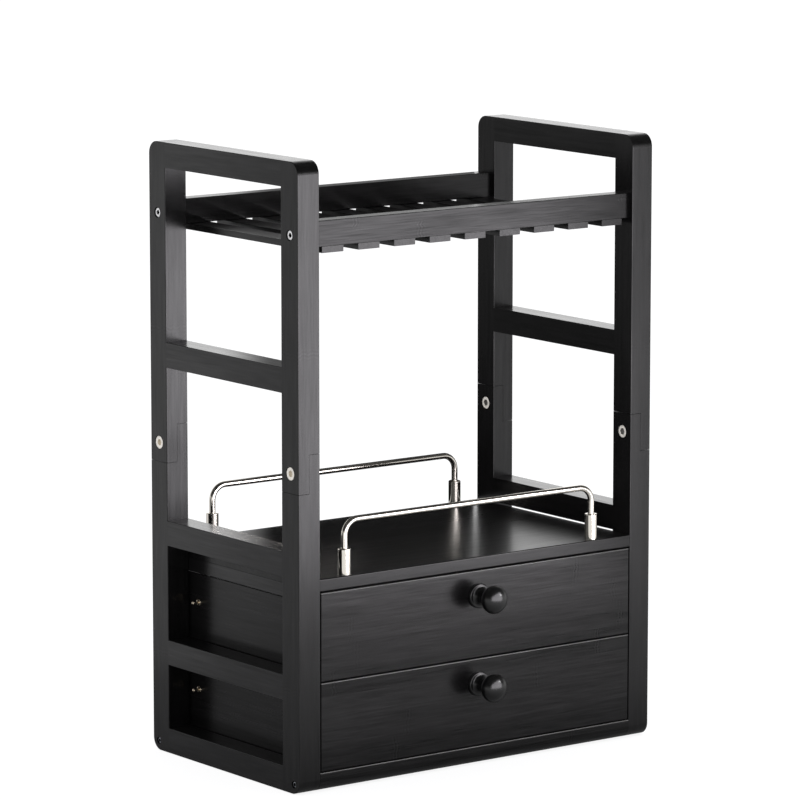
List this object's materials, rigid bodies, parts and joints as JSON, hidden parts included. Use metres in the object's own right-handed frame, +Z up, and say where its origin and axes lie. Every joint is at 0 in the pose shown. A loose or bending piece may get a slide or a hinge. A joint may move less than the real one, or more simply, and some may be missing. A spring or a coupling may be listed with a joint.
{
  "type": "makeup organizer with drawers",
  "caption": "Black bamboo countertop organizer: ladder side frames, slatted upper shelf, lower shelf with metal guardrails, and stacked drawers with round knobs.",
  "frame": {"origin": "centre of the plan box on the surface that the organizer stands on", "axes": "+X to the right seen from the front, +Y to the back, +Z up; the drawers slide out along -Y"},
  "size_m": [0.345, 0.228, 0.487],
  "materials": {
    "black_bamboo": "satin black stain and lacquer",
    "drawer_panel": "matte black stain",
    "natural_dowel": "bare",
    "gloss_black_wood": "gloss black lacquer",
    "nickel_plate": "polished plate",
    "zinc_steel": "bright zinc plate",
    "black_steel": "black oxide"
  },
  "bodies": {
    "organizer_frame": {"left_upper_front_post": "black_bamboo", "left_upper_rear_post": "black_bamboo", "left_lower_front_post": "black_bamboo", "left_lower_rear_post": "black_bamboo", "left_top_rail": "black_bamboo", "left_mid_rail": "black_bamboo", "left_shelf_rail": "black_bamboo", "left_divider_rail": "black_bamboo", "left_bottom_rail": "black_bamboo", "left_shelf_cleat": "black_bamboo", "left_upper_runner": "black_bamboo", "left_lower_runner": "black_bamboo", "right_upper_front_post": "black_bamboo", "right_upper_rear_post": "black_bamboo", "right_lower_front_post": "black_bamboo", "right_lower_rear_post": "black_bamboo", "right_top_rail": "black_bamboo", "right_mid_rail": "black_bamboo", "right_shelf_rail": "black_bamboo", "right_divider_rail": "black_bamboo", "right_bottom_rail": "black_bamboo", "right_shelf_cleat": "black_bamboo", "right_upper_runner": "black_bamboo", "right_lower_runner": "black_bamboo", "upper_front_rail": "black_bamboo", "upper_rear_rail": "black_bamboo", "upper_slats": "black_bamboo", "lower_shelf_board": "black_bamboo", "front_bottom_bar": "black_bamboo", "rear_bottom_bar": "black_bamboo", "frame_dowels": "natural_dowel", "front_guardrail": "nickel_plate", "rear_guardrail": "nickel_plate", "guardrail_sockets": "nickel_plate", "slat_brads": "zinc_steel", "wood_screws": "zinc_steel", "guardrail_screws": "zinc_steel", "shelf_bolts": "zinc_steel", "insert_nuts": "zinc_steel", "lap_sleeve_nuts": "zinc_steel", "lap_bolts": "zinc_steel", "base_bolts": "black_steel"},
    "upper_drawer": {"upper_drawer_front": "black_bamboo", "upper_drawer_left_side": "black_bamboo", "upper_drawer_right_side": "black_bamboo", "upper_drawer_back": "black_bamboo", "upper_drawer_bottom": "drawer_panel", "upper_drawer_dowels": "natural_dowel", "upper_drawer_knob": "gloss_black_wood", "upper_drawer_knob_screw": "zinc_steel", "upper_drawer_stop_pins": "nickel_plate"},
    "lower_drawer": {"lower_drawer_front": "black_bamboo", "lower_drawer_left_side": "black_bamboo", "lower_drawer_right_side": "black_bamboo", "lower_drawer_back": "black_bamboo", "lower_drawer_bottom": "drawer_panel", "lower_drawer_dowels": "natural_dowel", "lower_drawer_knob": "gloss_black_wood", "lower_drawer_knob_screw": "zinc_steel", "lower_drawer_stop_pins": "nickel_plate"}
  },
  "joints": [
    {"name": "upper_drawer_slide", "type": "slide", "parent": "organizer_frame", "child": "upper_drawer", "axis": [0, -1, 0], "range_m": [0, 0.1404]},
    {"name": "lower_drawer_slide", "type": "slide", "parent": "organizer_frame", "child": "lower_drawer", "axis": [0, -1, 0], "range_m": [0, 0.1404]}
  ]
}
